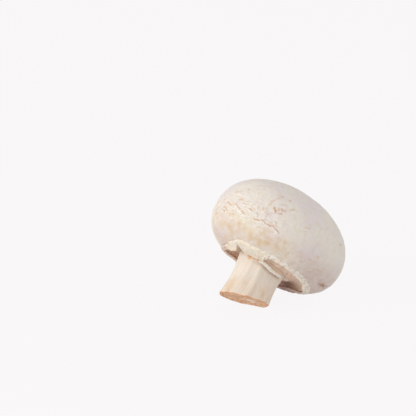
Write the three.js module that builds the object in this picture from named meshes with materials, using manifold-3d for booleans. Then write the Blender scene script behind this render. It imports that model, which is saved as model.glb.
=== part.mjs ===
// A closed button mushroom with a torn veil, lying on its cap and on the edge of its cut stem.
// Millimetres, +Z up, resting on z = 0, with the origin at the middle of its footprint.
//
// Each piece is first shaped upright on the Y axis, with the crown up and y = 0 at the widest line of
// the cap. Depths are measured down from there, and an angle round the axis from +X towards +Z. The
// whole is then laid down: the stem points along -Y and down, and +Z turns to look up and forward.

import * as THREE from 'three';
import { mergeVertices } from 'three/addons/utils/BufferGeometryUtils.js';
import Module from 'manifold-3d';

// Cap
const CAP_RADIUS = 25;
const CROWN_HEIGHT = 0.685 * CAP_RADIUS;
const MARGIN_DEPTH = 0.575 * CAP_RADIUS;
const CROWN_FULLNESS = 2.1; // 2 is an ellipse, more is squarer
const MARGIN_FULLNESS = 2.55;
const CROWN_LEAN = 0.6; // how far the crown sits off the axis
const CROWN_LEAN_ANGLE = 155;
const GIRTH_WAVES = [[2, 0.6, 0.2], [3, 2.1, 0.15], [5, 0.4, 0.075]]; // turns, phase, height
const MARGIN_WAVES = [[4, 1.0, 0.25], [7, 2.3, 0.18]];
const CAP_SIDES = 60;

// Stem
const STEM_TOP_RADIUS = 9;
const STEM_NECK_RADIUS = 8.7;
const STEM_WAIST_RADIUS = 8.0;
const STEM_FOOT_RADIUS = 8.45;
const STEM_LENGTH = 1.02 * CAP_RADIUS; // from the widest line of the cap to the middle of the cut
const NECK_DEPTH = 0.5 * CAP_RADIUS;
const WAIST_DEPTH = 0.78 * CAP_RADIUS;
const STEM_LEAN = 1.0;
const STEM_LEAN_ANGLE = -25;
const CUT_SLOPE = 0.3;
const CUT_SLOPE_ANGLE = 132; // the side on which the stem is cut longest
const FIBRE_WAVES = [[9, 0.4, 0.1], [14, 2.0, 0.06], [4, 1.3, 0.11]];
const SOCKET_TOP = 0.12 * CAP_RADIUS;
const SOCKET_FOOT = 0.36 * CAP_RADIUS;
const STEM_SIDES = 48;

// The torn edge of the veil that stayed on the stem, as lobes: angle, half width and height
const SHRED_DEPTH = 0.548 * CAP_RADIUS;
const SHRED_WIDTH = 0.75;
const SHRED_LOBES = [[42, 24, 0.8], [8, 16, 0.8], [-70, 18, 0.4], [215, 26, 0.36]];
const SHRED_WAVES = [[3, 0.9, 0.4]];

// Veil
const VEIL_OUTER_RADIUS = 0.77 * CAP_RADIUS;
const LIP_RADIUS = 0.7 * CAP_RADIUS;
const VEIL_THICKNESS = 1.2;
const RIM_LOBES = [[130, 42, 4.4], [58, 18, 0.7]]; // where the cap rolls further in over the veil
const BOWL_DEPTH = 0.394 * CAP_RADIUS; // to which the bare membrane sinks in behind the lip
const BOWL_SINK = 3.4; // how far in from the lip that takes
const BOWL_RISE = 1.8; // how far it rises again to the stem
const BULGE_RISE = 3.6; // slope and bend of the upper layer where it is whole
const BULGE_BEND = 5.8;
const BULGE_LEAST = 0.3;
const WHOLE_FROM = [44, 57]; // the upper layer reaches the stem between these angles
const WHOLE_TO = [87, 94];
const FLAP_FROM = [97, 106]; // a flap hangs beside it between these
const FLAP_TO = [120, 129];
const FLAP_REACH = 0.26;
const FLAP_LIFT = 0.4;
const HEM_REACH = 0.03;
const HEM_STEP = 0.35;
const HEM_WAVES = [[11, 0.7, 0.03], [17, 1.9, 0.025]];
const HEM_LOBES = [
  [186, 13, 0.3], [216, 15, 0.45], [250, 13, 0.3], [284, 13, 0.42],
]; // angle, half width and share of the way from the lip to the stem
const PLEAT_WAVES = [[22, 0.3, 0.14]];
const FOLD_LOBES = [[-14, 9, 1.3]]; // one pleat that stands up beside the stem
const VEIL_STEPS = 11;
const UPPER_STEPS = 5;
const INNER_STEPS = 6;
const VEIL_SIDES = 90;

const GAP = 0.3; // left between touching pieces
const REST_SINK = 0.5; // how deep the two resting flats are pressed

const wasm = await Module();
wasm.setup();

// 0 below the first value, 1 above the second, smooth between them.
function ease(from, to, value) {
  return THREE.MathUtils.smoothstep(value, from, to);
}

// Height at an angle of a few waves that run round the axis.
function waves(list, angle) {
  return list.reduce((sum, [turns, phase, height]) => sum + height * Math.sin(turns * angle + phase), 0);
}

// Height at an angle of a few smooth bumps, each given by its middle, its half width and its height.
function lobes(list, angle) {
  const degrees = THREE.MathUtils.radToDeg(angle);
  let sum = 0;
  for (const [middle, halfWidth, height] of list) {
    const turn = THREE.MathUtils.euclideanModulo(degrees - middle + 180, 360) - 180;
    sum += height * Math.exp(-((turn / halfWidth) ** 2));
  }
  return sum;
}

function setRadius(point, radius, angle) {
  point.x = radius * Math.cos(angle);
  point.z = radius * Math.sin(angle);
}

// Pushes a point sideways, towards an angle in degrees.
function push(point, distance, degrees) {
  point.x += distance * Math.cos(THREE.MathUtils.degToRad(degrees));
  point.z += distance * Math.sin(THREE.MathUtils.degToRad(degrees));
}

// Merges what the lathe repeats, its first meridian and its poles, into one closed skin.
function closedSkin(geometry) {
  geometry.deleteAttribute('normal');
  geometry.deleteAttribute('uv');
  return mergeVertices(geometry, 1e-4);
}

// Turns a profile into a closed skin and moves each point of it by a function of its place.
function turned(profile, sides, move) {
  const geometry = new THREE.LatheGeometry(profile, sides);
  const position = geometry.attributes.position;
  const point = new THREE.Vector3();
  for (let i = 0; i < position.count; i++) {
    point.fromBufferAttribute(position, i);
    move(point, Math.hypot(point.x, point.z), Math.atan2(point.z, point.x));
    position.setXYZ(i, point.x, point.y, point.z);
  }
  return closedSkin(geometry);
}

// Moves a value so that one end of its range stays and the other end goes to a new place.
function rescale(value, fixedEnd, oldEnd, newEnd) {
  return fixedEnd + (value - fixedEnd) * (newEnd - fixedEnd) / (oldEnd - fixedEnd);
}

// Depth of the cap's outside at a radius under its widest line.
function marginDepth(radius) {
  const reach = Math.min(radius / CAP_RADIUS, 1);
  return MARGIN_DEPTH * (1 - reach ** MARGIN_FULLNESS) ** (1 / MARGIN_FULLNESS);
}

// A grown cap is never truly round: low waves in its girth, a wavy margin and a crown off the axis.
function growCap(point, radius, angle) {
  const outwards = ease(0.46 * CAP_RADIUS, 0.72 * CAP_RADIUS, radius);
  const underside = outwards * ease(0.2 * CAP_RADIUS, 0.42 * CAP_RADIUS, -point.y);
  setRadius(point, radius * (1 + outwards * waves(GIRTH_WAVES, angle) / CAP_RADIUS), angle);
  point.y += underside * waves(MARGIN_WAVES, angle);
  push(point, CROWN_LEAN * Math.max(0, point.y / CROWN_HEIGHT), CROWN_LEAN_ANGLE);
}

// Part of a squared ellipse, from the crown to the widest line or from there on under it.
function capArc(height, fullness, fromTurn, toTurn, steps) {
  const points = [];
  for (let i = 0; i <= steps; i++) {
    const turn = THREE.MathUtils.lerp(fromTurn, toTurn, i / steps);
    const radius = CAP_RADIUS * Math.sin(turn) ** (2 / fullness);
    points.push(new THREE.Vector2(radius, height * Math.cos(turn) ** (2 / fullness)));
  }
  return points;
}

function makeCap() {
  const socketRadius = STEM_TOP_RADIUS + GAP;
  const seatTurn = Math.asin(((VEIL_OUTER_RADIUS + GAP) / CAP_RADIUS) ** (MARGIN_FULLNESS / 2));
  const crown = capArc(CROWN_HEIGHT, CROWN_FULLNESS, 0, Math.PI / 2, 13);
  const side = capArc(-MARGIN_DEPTH, MARGIN_FULLNESS, Math.PI / 2, seatTurn, 9).slice(1);
  const underVeil = [];
  for (let i = 0; i <= 7; i++) {
    const radius = THREE.MathUtils.lerp(VEIL_OUTER_RADIUS, socketRadius + GAP, i / 7);
    underVeil.push(new THREE.Vector2(radius, -MARGIN_DEPTH));
  }
  const profile = [
    ...crown,
    ...side,
    ...underVeil,
    new THREE.Vector2(socketRadius, -SOCKET_FOOT),
    new THREE.Vector2(socketRadius, -SOCKET_TOP),
    new THREE.Vector2(0, -SOCKET_TOP),
  ].reverse();
  return turned(profile, CAP_SIDES, (point, radius, angle) => {
    let place = radius;
    if (point.y < 0 && radius > VEIL_OUTER_RADIUS + 0.9 * GAP) {
      place = rescale(radius, CAP_RADIUS, VEIL_OUTER_RADIUS + GAP, rimRadius(angle) + GAP);
      point.y = -marginDepth(place);
    } else if (point.y < 0 && radius > socketRadius + 0.1 * GAP) {
      place = rescale(radius, socketRadius + GAP, VEIL_OUTER_RADIUS, rimRadius(angle));
      point.y = GAP + VEIL_THICKNESS - bowlDepth(place, angle);
    }
    setRadius(point, place, angle);
    growCap(point, place, angle);
  });
}

// Fibres down the stem, the shred of veil on it, its lean and its slanted cut.
function growStem(point, radius, angle) {
  const depth = -point.y;
  const skin = ease(0.8 * STEM_WAIST_RADIUS, STEM_WAIST_RADIUS, radius);
  const bare = ease(SOCKET_FOOT, 0.9 * NECK_DEPTH, depth);
  const fromShred = (depth - SHRED_DEPTH - waves(SHRED_WAVES, angle)) / SHRED_WIDTH;
  const shred = lobes(SHRED_LOBES, angle) * Math.exp(-(fromShred ** 2));
  setRadius(point, radius + skin * (bare * waves(FIBRE_WAVES, angle) + shred), angle);
  const downwards = ease(SOCKET_FOOT, STEM_LENGTH, depth);
  const slope = THREE.MathUtils.degToRad(CUT_SLOPE_ANGLE);
  const alongSlope = point.x * Math.cos(slope) + point.z * Math.sin(slope);
  point.y -= CUT_SLOPE * alongSlope * downwards;
  push(point, STEM_LEAN * downwards, STEM_LEAN_ANGLE);
}

function makeStem() {
  const top = SOCKET_TOP + GAP;
  const outline = new THREE.SplineCurve([
    new THREE.Vector2(STEM_TOP_RADIUS, -SOCKET_FOOT),
    new THREE.Vector2(STEM_NECK_RADIUS, -NECK_DEPTH),
    new THREE.Vector2(STEM_WAIST_RADIUS, -WAIST_DEPTH),
    new THREE.Vector2(STEM_FOOT_RADIUS - 0.1, -STEM_LENGTH + 1.2),
    new THREE.Vector2(STEM_FOOT_RADIUS, -STEM_LENGTH + 0.25),
  ]);
  const profile = [
    new THREE.Vector2(0, -top),
    new THREE.Vector2(STEM_TOP_RADIUS - 0.5, -top),
    new THREE.Vector2(STEM_TOP_RADIUS, -top - 0.5),
    ...outline.getSpacedPoints(17),
    new THREE.Vector2(STEM_FOOT_RADIUS - 0.3, -STEM_LENGTH),
    new THREE.Vector2(0.6 * STEM_FOOT_RADIUS, -STEM_LENGTH),
    new THREE.Vector2(0, -STEM_LENGTH),
  ].reverse();
  return turned(profile, STEM_SIDES, growStem);
}

// Where the veil meets the stem: clear of its neck and of the fibres there.
const VEIL_INNER_RADIUS = STEM_NECK_RADIUS + 0.25 + GAP;

// Radius at which the veil joins the cap, and that of the lip a little inside it.
function rimRadius(angle) {
  return VEIL_OUTER_RADIUS - lobes(RIM_LOBES, angle);
}

function lipRadius(angle) {
  return LIP_RADIUS - lobes(RIM_LOBES, angle);
}

// Depth of the bare membrane's face: over the lip, down into a shallow bowl and part way up to the stem.
function bowlDepth(radius, angle) {
  const lip = lipRadius(angle);
  const inwards = Math.max(0, lip - radius);
  const bottom = BOWL_DEPTH + 0.25 * (LIP_RADIUS - lip);
  const sunk = THREE.MathUtils.lerp(marginDepth(Math.max(radius, lip)), bottom, ease(0, BOWL_SINK, inwards));
  const wholeWidth = LIP_RADIUS - VEIL_INNER_RADIUS;
  return sunk + BOWL_RISE * ease(0.55 * wholeWidth, wholeWidth, inwards);
}

// 1 where the veil's upper layer is whole from the lip to the stem, 0 where it is torn.
function veilWhole(angle) {
  const degrees = THREE.MathUtils.radToDeg(angle);
  return ease(...WHOLE_FROM, degrees) - ease(...WHOLE_TO, degrees);
}

function flapShare(angle) {
  const degrees = THREE.MathUtils.radToDeg(angle);
  return ease(...FLAP_FROM, degrees) - ease(...FLAP_TO, degrees);
}

// Depth of the upper layer's face, which bulges past the lip where it is whole and on the flap.
function upperDepth(radius, angle) {
  const lip = lipRadius(angle);
  const inwards = Math.max(0, (lip - radius) / LIP_RADIUS);
  const fullness = Math.max(veilWhole(angle), flapShare(angle), BULGE_LEAST);
  const bulge = fullness * (BULGE_RISE * inwards - BULGE_BEND * inwards ** 2);
  const towardsHem = 1 - ease(hemRadius(angle), lip, radius);
  const lift = FLAP_LIFT * towardsHem * flapShare(angle);
  return marginDepth(Math.max(radius, lip)) + bulge + lift;
}

// Radius to which that layer reaches in: whole to the stem on one side, a hooked flap beside it with
// a notch between, and a narrow ragged hem elsewhere.
function hemRadius(angle) {
  const ragged = HEM_REACH + waves(HEM_WAVES, angle) + lobes(HEM_LOBES, angle);
  const torn = ragged + FLAP_REACH * flapShare(angle);
  return THREE.MathUtils.lerp(lipRadius(angle), VEIL_INNER_RADIUS, Math.max(torn, 0.9 * veilWhole(angle)));
}

// The ring is laid out flat, with its outer face below zero. That face has three strips: the upper
// layer in to its hem, the step down at the hem, and the bare membrane from there to the stem.
function growVeil(point, radius, angle) {
  const reach = (VEIL_OUTER_RADIUS - radius) / (VEIL_OUTER_RADIUS - VEIL_INNER_RADIUS);
  const step = Math.round(VEIL_STEPS * reach);
  const whole = veilWhole(angle);
  let place = rescale(radius, VEIL_INNER_RADIUS, VEIL_OUTER_RADIUS, rimRadius(angle));
  let depth = bowlDepth(place, angle) - VEIL_THICKNESS;
  if (point.y < 0 && step <= UPPER_STEPS) {
    place = THREE.MathUtils.lerp(rimRadius(angle), hemRadius(angle), step / UPPER_STEPS);
    depth = upperDepth(place, angle);
  } else if (point.y < 0) {
    const inwards = (step - UPPER_STEPS - 1) / (VEIL_STEPS - UPPER_STEPS - 1);
    place = THREE.MathUtils.lerp(hemRadius(angle) - HEM_STEP, VEIL_INNER_RADIUS, inwards);
    const bare = bowlDepth(place, angle) + waves(PLEAT_WAVES, angle) + inwards * lobes(FOLD_LOBES, angle);
    depth = THREE.MathUtils.lerp(bare, upperDepth(place, angle), whole);
  }
  setRadius(point, place, angle);
  point.y = -depth;
  growCap(point, place, angle);
}

function veilFace(steps, height) {
  const points = [];
  for (let i = 0; i <= steps; i++) {
    const radius = THREE.MathUtils.lerp(VEIL_OUTER_RADIUS, VEIL_INNER_RADIUS, i / steps);
    points.push(new THREE.Vector2(radius, height));
  }
  return points;
}

function makeVeil() {
  const innerFace = veilFace(INNER_STEPS, 1);
  const outerFace = veilFace(VEIL_STEPS, -1);
  const profile = [...innerFace, ...outerFace.reverse(), innerFace[0]];
  return turned(profile, VEIL_SIDES, growVeil);
}

// Lowest point of an upright shape once it is tipped about X.
function lowestPoint(geometry, tilt) {
  const position = geometry.attributes.position;
  let lowest = Infinity;
  for (let i = 0; i < position.count; i++) {
    const height = position.getY(i) * Math.sin(tilt) + position.getZ(i) * Math.cos(tilt);
    lowest = Math.min(lowest, height);
  }
  return lowest;
}

// The tilt at which the cap and the edge of the stem's cut touch the ground together.
function restingTilt(cap, stem) {
  let low = THREE.MathUtils.degToRad(20);
  let high = THREE.MathUtils.degToRad(60);
  for (let i = 0; i < 30; i++) {
    const middle = (low + high) / 2;
    if (lowestPoint(cap, middle) < lowestPoint(stem, middle)) {
      low = middle;
    } else {
      high = middle;
    }
  }
  return (low + high) / 2;
}

function toSolid(geometry) {
  const vertProperties = new Float32Array(geometry.attributes.position.array);
  const triVerts = new Uint32Array(geometry.index.array);
  return new wasm.Manifold(new wasm.Mesh({ numProp: 3, vertProperties, triVerts }));
}

function toGeometry(solid) {
  const mesh = solid.getMesh();
  const geometry = new THREE.BufferGeometry();
  geometry.setAttribute('position', new THREE.BufferAttribute(new Float32Array(mesh.vertProperties), 3));
  geometry.setIndex(new THREE.BufferAttribute(new Uint32Array(mesh.triVerts), 1));
  return geometry;
}

// What lies below z = 0 is pressed flat by the ground.
function pressFlat(geometry) {
  const side = 4 * CAP_RADIUS;
  const ground = new THREE.BoxGeometry(side, side, side).translate(0, 0, -side / 2);
  return toGeometry(toSolid(geometry).subtract(toSolid(closedSkin(ground))));
}

function piece(name, geometry, color, roughness) {
  geometry.computeVertexNormals();
  const mesh = new THREE.Mesh(geometry, new THREE.MeshStandardMaterial({ color, roughness, metalness: 0 }));
  mesh.name = name;
  return mesh;
}

const cap = makeCap();
const stem = makeStem();
const veil = makeVeil();

const tilt = restingTilt(cap, stem);
const lift = -lowestPoint(cap, tilt) - REST_SINK;
for (const shape of [cap, stem, veil]) {
  shape.rotateX(tilt).translate(0, 0, lift);
}

const mushroom = new THREE.Group();
mushroom.add(piece('cap', pressFlat(cap), 0xe6dfd6, 0.75));
mushroom.add(piece('veil', veil, 0xe8dcc4, 0.8));
mushroom.add(piece('stem', pressFlat(stem), 0xe4dacb, 0.75));

const footprint = new THREE.Box3().setFromObject(mushroom).getCenter(new THREE.Vector3());
mushroom.position.set(-footprint.x, -footprint.y, 0);

export default mushroom;
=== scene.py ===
"""Dresses a closed button mushroom: its cap skin, torn veil and cut stem, on a pale studio floor."""
import math

import bpy
import numpy as np
from mathutils import Matrix, Vector, noise


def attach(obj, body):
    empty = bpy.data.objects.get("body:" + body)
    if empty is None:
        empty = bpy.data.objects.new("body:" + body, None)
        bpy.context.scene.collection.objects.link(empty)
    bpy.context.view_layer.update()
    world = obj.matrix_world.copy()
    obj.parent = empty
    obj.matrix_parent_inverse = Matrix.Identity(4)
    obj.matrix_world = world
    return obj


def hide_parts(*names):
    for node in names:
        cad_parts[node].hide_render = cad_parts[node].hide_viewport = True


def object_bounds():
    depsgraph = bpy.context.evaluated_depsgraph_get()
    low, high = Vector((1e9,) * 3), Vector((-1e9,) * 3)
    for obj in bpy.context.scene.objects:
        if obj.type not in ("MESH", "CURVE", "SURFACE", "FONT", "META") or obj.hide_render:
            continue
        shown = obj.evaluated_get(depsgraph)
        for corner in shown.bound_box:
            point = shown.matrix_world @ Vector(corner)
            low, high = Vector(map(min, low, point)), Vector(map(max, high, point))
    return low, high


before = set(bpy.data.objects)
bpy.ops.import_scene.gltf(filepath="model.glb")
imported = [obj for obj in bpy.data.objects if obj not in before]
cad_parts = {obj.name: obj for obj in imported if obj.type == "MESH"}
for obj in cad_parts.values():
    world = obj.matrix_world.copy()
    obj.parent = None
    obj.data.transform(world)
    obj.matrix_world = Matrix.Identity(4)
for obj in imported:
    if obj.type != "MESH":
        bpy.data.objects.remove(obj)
CAD_LOW, CAD_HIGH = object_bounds()

bl_info = {
    "name": "Button mushroom",
    "version": (1, 0, 0),
    "blender": (4, 5, 0),
    "location": "View3D > Sidebar > Mushroom",
    "description": "Cap, veil and stem of a closed button mushroom that lies on its cap",
    "category": "Add Mesh",
}

# Sizes are in millimetres and angles in degrees. The mushroom is shaped upright, with its crown up the
# Y axis and y = 0 at the widest line of the cap, and is then laid down as the solids are.
MM = 0.001

# Shape of the solids
CAP_RADIUS = 25.0
CROWN_HEIGHT = 0.685 * CAP_RADIUS
MARGIN_DEPTH = 0.575 * CAP_RADIUS
CROWN_FULLNESS = 2.1
MARGIN_FULLNESS = 2.55
CROWN_LEAN = 0.6
CROWN_LEAN_ANGLE = 155
GIRTH_WAVES = [(2, 0.6, 0.2), (3, 2.1, 0.15), (5, 0.4, 0.075)]
MARGIN_WAVES = [(4, 1.0, 0.25), (7, 2.3, 0.18)]
STEM_TOP_RADIUS = 9.0
STEM_NECK_RADIUS = 8.7
STEM_WAIST_RADIUS = 8.0
STEM_FOOT_RADIUS = 8.45
STEM_LENGTH = 1.02 * CAP_RADIUS
NECK_DEPTH = 0.5 * CAP_RADIUS
WAIST_DEPTH = 0.78 * CAP_RADIUS
STEM_LEAN = 1.0
STEM_LEAN_ANGLE = -25
CUT_SLOPE = 0.3
CUT_SLOPE_ANGLE = 132
SOCKET_TOP = 0.12 * CAP_RADIUS
SOCKET_FOOT = 0.36 * CAP_RADIUS
VEIL_OUTER_RADIUS = 0.77 * CAP_RADIUS
LIP_RADIUS = 0.7 * CAP_RADIUS
VEIL_INNER_RADIUS = STEM_NECK_RADIUS + 0.15
VEIL_THICKNESS = 1.2
BOWL_DEPTH = 0.394 * CAP_RADIUS
BOWL_SINK = 3.4
BOWL_RISE = 1.8
RIM_LOBES = [(130, 42, 4.4), (58, 18, 0.7)]
GAP = 0.3

# How the solids lie
TILT = math.radians(40.7317)
LIFT = 21.6589
SHIFT_X = -0.1587
SHIFT_Y = 2.5556

# Camera, as found from the outline on the photograph
VIEW_AZIMUTH = math.radians(42.3)
VIEW_ELEVATION = math.radians(23.61)
VIEW_DISTANCE = 650.0
VIEW_TARGET = Vector((0, 0, 22.0))
TARGET_PIXEL = (273.98, 239.1)
PIXELS_PER_MM = 2.88
PICTURE_SIZE = 416
SENSOR_WIDTH = 36.0


def tint(red, green, blue):
    """A colour as a screen shows it, 0 to 255, turned into the linear values that shaders take."""
    def linear(value):
        share = value / 255
        return share / 12.92 if share <= 0.04045 else ((share + 0.055) / 1.055) ** 2.4
    return (linear(red), linear(green), linear(blue))


def colour_setting(name, description, shown):
    return bpy.props.FloatVectorProperty(
        name=name, description=description, default=tint(*shown), subtype="COLOR", size=3, min=0, max=1)


def length_setting(name, description, millimetres):
    return bpy.props.FloatProperty(
        name=name, description=description, default=millimetres * MM, unit="LENGTH", precision=5)


# Shape functions on arrays

def ease(start, end, value):
    """0 before start, 1 after end, smooth between them."""
    share = np.clip((value - start) / (end - start), 0, 1)
    return share * share * (3 - 2 * share)


def blend(first, second, share):
    return first + (second - first) * share


def waves(rows, angle):
    """Height of a few waves round the axis, each given by its turns, phase and height."""
    return sum(height * np.sin(turns * angle + phase) for turns, phase, height in rows)


def lobes(rows, angle):
    """Height of a few smooth bumps, each given by its middle angle, half width and height."""
    turns = [(np.degrees(angle) - middle + 180) % 360 - 180 for middle, _, _ in rows]
    return sum(row[2] * np.exp(-((turn / row[1]) ** 2)) for turn, row in zip(turns, rows))


def rough(points, size, octaves=3, seed=0.0):
    """Fractal noise, about -1 to 1, at each point, for features of that size in millimetres."""
    places = points / size + seed
    return np.array([noise.fractal(place, 0.8, 2.1, octaves) for place in places.tolist()])


def margin_depth(radius):
    reach = np.minimum(radius / CAP_RADIUS, 1)
    return MARGIN_DEPTH * (1 - reach ** MARGIN_FULLNESS) ** (1 / MARGIN_FULLNESS)


def rim_radius(angle):
    """Where the veil joins the cap. The cap rolls further in over it on one side."""
    return VEIL_OUTER_RADIUS - lobes(RIM_LOBES, angle)


def lip_radius(angle):
    return LIP_RADIUS - lobes(RIM_LOBES, angle)


def bowl_depth(radius, angle):
    """Depth of the bare membrane: over the lip, down into a shallow bowl and part way up to the stem."""
    lip = lip_radius(angle)
    inwards = np.maximum(0, lip - radius)
    bottom = BOWL_DEPTH + 0.25 * (LIP_RADIUS - lip)
    sunk = blend(margin_depth(np.maximum(radius, lip)), bottom, ease(0, BOWL_SINK, inwards))
    whole_width = LIP_RADIUS - VEIL_INNER_RADIUS
    return sunk + BOWL_RISE * ease(0.55 * whole_width, whole_width, inwards)


def grown_cap(radius, height, angle):
    """Upright coordinates of a point of the cap, with the low waves that the solid has too."""
    outwards = ease(0.46 * CAP_RADIUS, 0.72 * CAP_RADIUS, radius)
    underside = outwards * ease(0.2 * CAP_RADIUS, 0.42 * CAP_RADIUS, -height)
    girth = radius * (1 + outwards * waves(GIRTH_WAVES, angle) / CAP_RADIUS)
    lifted = height + underside * waves(MARGIN_WAVES, angle)
    lean = CROWN_LEAN * np.maximum(0, lifted / CROWN_HEIGHT)
    x = girth * np.cos(angle) + lean * math.cos(math.radians(CROWN_LEAN_ANGLE))
    z = girth * np.sin(angle) + lean * math.sin(math.radians(CROWN_LEAN_ANGLE))
    return np.stack([x, lifted, z], axis=1)


def grown_stem(radius, height, angle, relief):
    """Upright coordinates of a point of the stem, with its lean and its slanted cut."""
    x = (radius + relief) * np.cos(angle)
    z = (radius + relief) * np.sin(angle)
    downwards = ease(SOCKET_FOOT, STEM_LENGTH, -height)
    slope = math.radians(CUT_SLOPE_ANGLE)
    y = height - CUT_SLOPE * (x * math.cos(slope) + z * math.sin(slope)) * downwards
    lean = math.radians(STEM_LEAN_ANGLE)
    return np.stack([x + STEM_LEAN * downwards * math.cos(lean), y,
                     z + STEM_LEAN * downwards * math.sin(lean)], axis=1)


def even_rows(parts):
    """Radii and heights at even steps along each part of a profile, given with its number of rows."""
    radii = []
    heights = []
    for profile, count in parts:
        radius, height = np.array(profile).T
        along = np.concatenate([[0], np.cumsum(np.hypot(np.diff(radius), np.diff(height)))])
        wanted = np.linspace(0, along[-1], count)
        radii.append(np.interp(wanted, along, radius))
        heights.append(np.interp(wanted, along, height))
    return np.concatenate(radii), np.concatenate(heights)


# Mesh helpers

# The meridians stand closer on the side that shows, by up to this share
SHOWN_SIDE = math.radians(52)
CROWDING = 0.5


def start_piece(name, add, **sizes):
    """Adds a primitive with nothing else selected and names it."""
    bpy.ops.object.select_all(action="DESELECT")
    add(location=(0, 0, 0), **sizes)
    piece = bpy.context.object
    piece.name = name
    piece.data.name = name
    return piece


def points_of(piece):
    flat = np.empty(len(piece.data.vertices) * 3)
    piece.data.vertices.foreach_get("co", flat)
    return flat.reshape(-1, 3)


def move_points(piece, points):
    piece.data.vertices.foreach_set("co", points.ravel())
    piece.data.update()


def normals_of(piece):
    flat = np.empty(len(piece.data.vertices) * 3)
    piece.data.vertex_normals.foreach_get("vector", flat)
    return flat.reshape(-1, 3)


def give_values(piece, **layers):
    """Stores a number, or a vector, at each point under each name for the materials to read."""
    for name, values in layers.items():
        kind, key = ("FLOAT", "value") if values.ndim == 1 else ("FLOAT_VECTOR", "vector")
        layer = piece.data.attributes.new(name, kind, "POINT")
        layer.data.foreach_set(key, values.astype(np.float32).ravel())


def lay_down(points):
    """Upright millimetres to metres in the frame, held inside the box of the solids."""
    x, y, z = points.T
    cosine, sine = math.cos(TILT), math.sin(TILT)
    turned_y = y * cosine - z * sine
    turned_z = y * sine + z * cosine
    laid = np.stack([x + SHIFT_X, turned_y + SHIFT_Y, turned_z + LIFT], axis=1)
    return np.clip(laid * MM, CAD_LOW, CAD_HIGH)


def crowded(angle):
    """Draws the meridians together on the side that shows, where the marks are finest."""
    return angle - CROWDING * np.sin(angle - SHOWN_SIDE)


def turned_ball(name, around, rows, shape):
    """A ball whose meridians are moved onto a profile. shape gives each point by its row and angle."""
    piece = start_piece(name, bpy.ops.mesh.primitive_uv_sphere_add, segments=around, ring_count=rows,
                        radius=1)
    x, y, z = points_of(piece).T
    row = np.rint(np.arccos(np.clip(z, -1, 1)) / math.pi * rows).astype(int)
    angle = np.where((row == 0) | (row == rows), 0, crowded(np.arctan2(y, x)))
    points = shape(row, angle)
    move_points(piece, points)
    outwards_again(piece)
    return piece, row, angle, points


def outwards_again(piece):
    """Turns the faces outwards after a reshaping that may have mirrored them."""
    bpy.ops.object.select_all(action="DESELECT")
    piece.select_set(True)
    bpy.context.view_layer.objects.active = piece
    bpy.ops.object.mode_set(mode="EDIT")
    bpy.ops.mesh.select_all(action="SELECT")
    bpy.ops.mesh.normals_make_consistent(inside=False)
    bpy.ops.object.mode_set(mode="OBJECT")


def finish_piece(piece, node, material):
    """Lays the piece down, smooths it, paints it and hands it to the frame."""
    move_points(piece, lay_down(points_of(piece)))
    bpy.ops.object.select_all(action="DESELECT")
    piece.select_set(True)
    bpy.context.view_layer.objects.active = piece
    bpy.ops.object.shade_smooth()
    piece.data.materials.clear()
    piece.data.materials.append(material)
    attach(piece, "root")
    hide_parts(node)


def near_line(points, line, width):
    """1 on a line through the given points and 0 beyond its width, with soft sides."""
    nearest = np.full(len(points), 1e9)
    for start, end in zip(line[:-1], line[1:]):
        way = end - start
        share = np.clip((points - start) @ way / max(way @ way, 1e-9), 0, 1)
        nearest = np.minimum(nearest, np.linalg.norm(points - start - share[:, None] * way, axis=1))
    return np.exp(-((nearest / width) ** 2))


# Material helpers

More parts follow.
